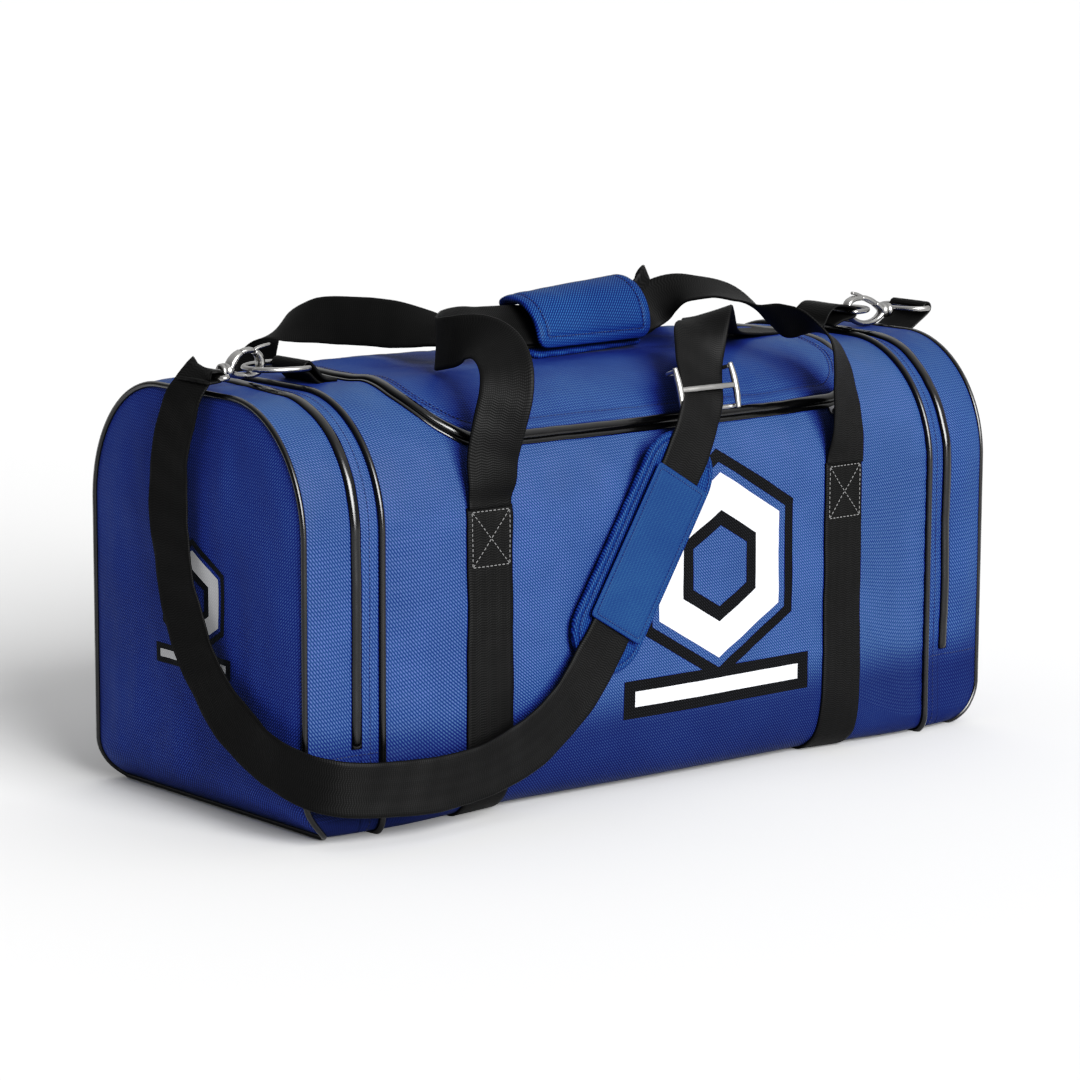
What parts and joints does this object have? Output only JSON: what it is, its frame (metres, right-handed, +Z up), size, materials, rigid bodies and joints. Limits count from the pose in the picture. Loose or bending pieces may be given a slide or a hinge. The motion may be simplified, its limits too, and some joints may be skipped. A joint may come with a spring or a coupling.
{
  "type": "duffel bag",
  "caption": "Soft duffel bag with zipped lid, piped end pockets, wrapped webbing carry handles and a padded shoulder strap on snap hooks.",
  "frame": {"origin": "centre of the bottom panel's underside, where the bag stands on the floor", "axes": "+X along the bag's length towards the end whose strap ring is sewn to the end panel, -Y out of the front with the shoulder pad, +Z up"},
  "size_m": [0.6817, 0.304, 0.3485],
  "materials": {
    "shell_fabric": "royal blue twill-woven polyester",
    "base_fabric": "dark blue coated polyester",
    "lining": "thin black lining",
    "board": "black stiffener board",
    "piping": "glossy black welt",
    "zip_tape": "black zip tape with coil",
    "webbing": "charcoal ribbed webbing",
    "hardware": "nickel plated",
    "glide": "nickel plated wire",
    "zip_metal": "black enamel"
  },
  "bodies": {
    "bag": {"back_panel": "shell_fabric", "base_board": "board", "bottom_panel": "base_fabric", "front_handle": "webbing", "front_panel": "shell_fabric", "left_end_panel": "shell_fabric", "left_end_piping": "piping", "left_inner_gusset": "shell_fabric", "left_inner_piping": "piping", "left_outer_gusset": "shell_fabric", "left_partition": "lining", "left_pocket_zip": "piping", "left_ring_tab": "webbing", "left_snap_hook": "hardware", "left_strap_ring": "hardware", "left_swivel_eye": "hardware", "left_webbing_belt": "webbing", "lid_zip": "zip_tape", "right_end_panel": "shell_fabric", "right_end_piping": "piping", "right_inner_gusset": "shell_fabric", "right_inner_piping": "piping", "right_outer_gusset": "shell_fabric", "right_partition": "lining", "right_pocket_zip": "piping", "right_ring_tab": "webbing", "right_snap_hook": "hardware", "right_strap_ring": "hardware", "right_swivel_eye": "hardware", "right_webbing_belt": "webbing", "shoulder_strap": "webbing", "top_strip_left": "shell_fabric", "top_strip_right": "shell_fabric"},
    "lid": {"lid": "shell_fabric", "lid_welt": "piping"},
    "grip": {"handle_wrap": "shell_fabric", "back_handle": "webbing"},
    "wrap_flap": {"wrap_flap": "shell_fabric"},
    "left_gate": {"left_hook_gate": "hardware"},
    "right_gate": {"right_hook_gate": "hardware"},
    "lid_slider": {"lid_zip_slider": "zip_metal"},
    "lid_pull": {"lid_zip_pull": "zip_metal"},
    "left_slider": {"left_zip_slider": "zip_metal"},
    "left_pull": {"left_zip_pull": "zip_metal"},
    "right_slider": {"right_zip_slider": "zip_metal"},
    "right_pull": {"right_zip_pull": "zip_metal"},
    "pad": {"shoulder_pad": "shell_fabric", "pad_sleeve": "shell_fabric"},
    "glide": {"tri_glide": "glide"}
  },
  "joints": [
    {"name": "lid_open", "type": "hinge", "parent": "bag", "child": "lid", "pos_m": [0, 0.1, 0.2722], "axis": [-1, 0, 0], "range_deg": [0, 22], "deforming": ["shoulder_strap"]},
    {"name": "grip_lift", "type": "hinge", "parent": "bag", "child": "grip", "pos_m": [0, 0.1372, 0.214], "axis": [-1, 0, 0], "range_deg": [0, 22], "deforming": ["front_handle"]},
    {"name": "wrap_flap_open", "type": "hinge", "parent": "grip", "child": "wrap_flap", "pos_m": [0.01, -0.03586, 0.30433], "axis": [1, 0, 0], "range_deg": [0, 95]},
    {"name": "left_gate_open", "type": "hinge", "parent": "bag", "child": "left_gate", "pos_m": [-0.2721, -0.012, 0.3107], "axis": [0, 1, 0], "range_deg": [0, 15], "stiffness_Nm_per_rad": 0.02},
    {"name": "right_gate_open", "type": "hinge", "parent": "bag", "child": "right_gate", "pos_m": [0.3139, -0.012, 0.3107], "axis": [0, 1, 0], "range_deg": [0, 15], "stiffness_Nm_per_rad": 0.02},
    {"name": "lid_slider_run", "type": "slide", "parent": "bag", "child": "lid_slider", "axis": [-1, 0, 0], "range_m": [0, 0.326]},
    {"name": "lid_pull_swing", "type": "hinge", "parent": "lid_slider", "child": "lid_pull", "pos_m": [0.163, -0.12323, 0.2522], "axis": [-1, 0, 0], "range_deg": [0, 40]},
    {"name": "left_slider_run", "type": "slide", "parent": "bag", "child": "left_slider", "axis": [0, 0, 1], "range_m": [0, 0.12]},
    {"name": "left_pull_swing", "type": "hinge", "parent": "left_slider", "child": "left_pull", "pos_m": [-0.273, 0.13908, 0.076], "axis": [1, 0, 0], "range_deg": [0, 90]},
    {"name": "right_slider_run", "type": "slide", "parent": "bag", "child": "right_slider", "axis": [0, 0, 1], "range_m": [0, 0.12]},
    {"name": "right_pull_swing", "type": "hinge", "parent": "right_slider", "child": "right_pull", "pos_m": [0.273, 0.13908, 0.076], "axis": [1, 0, 0], "range_deg": [0, 90]},
    {"name": "pad_slide", "type": "slide", "parent": "bag", "child": "pad", "axis": [0.518, 0, 0.8554], "range_m": [-0.025, 0.012]},
    {"name": "glide_slide", "type": "slide", "parent": "bag", "child": "glide", "axis": [0, 0.5408, 0.8412], "range_m": [-0.01, 0.02]}
  ],
  "couplings": [
    {"joint": "grip_lift", "follows": "lid_open", "ratio": 1}
  ]
}
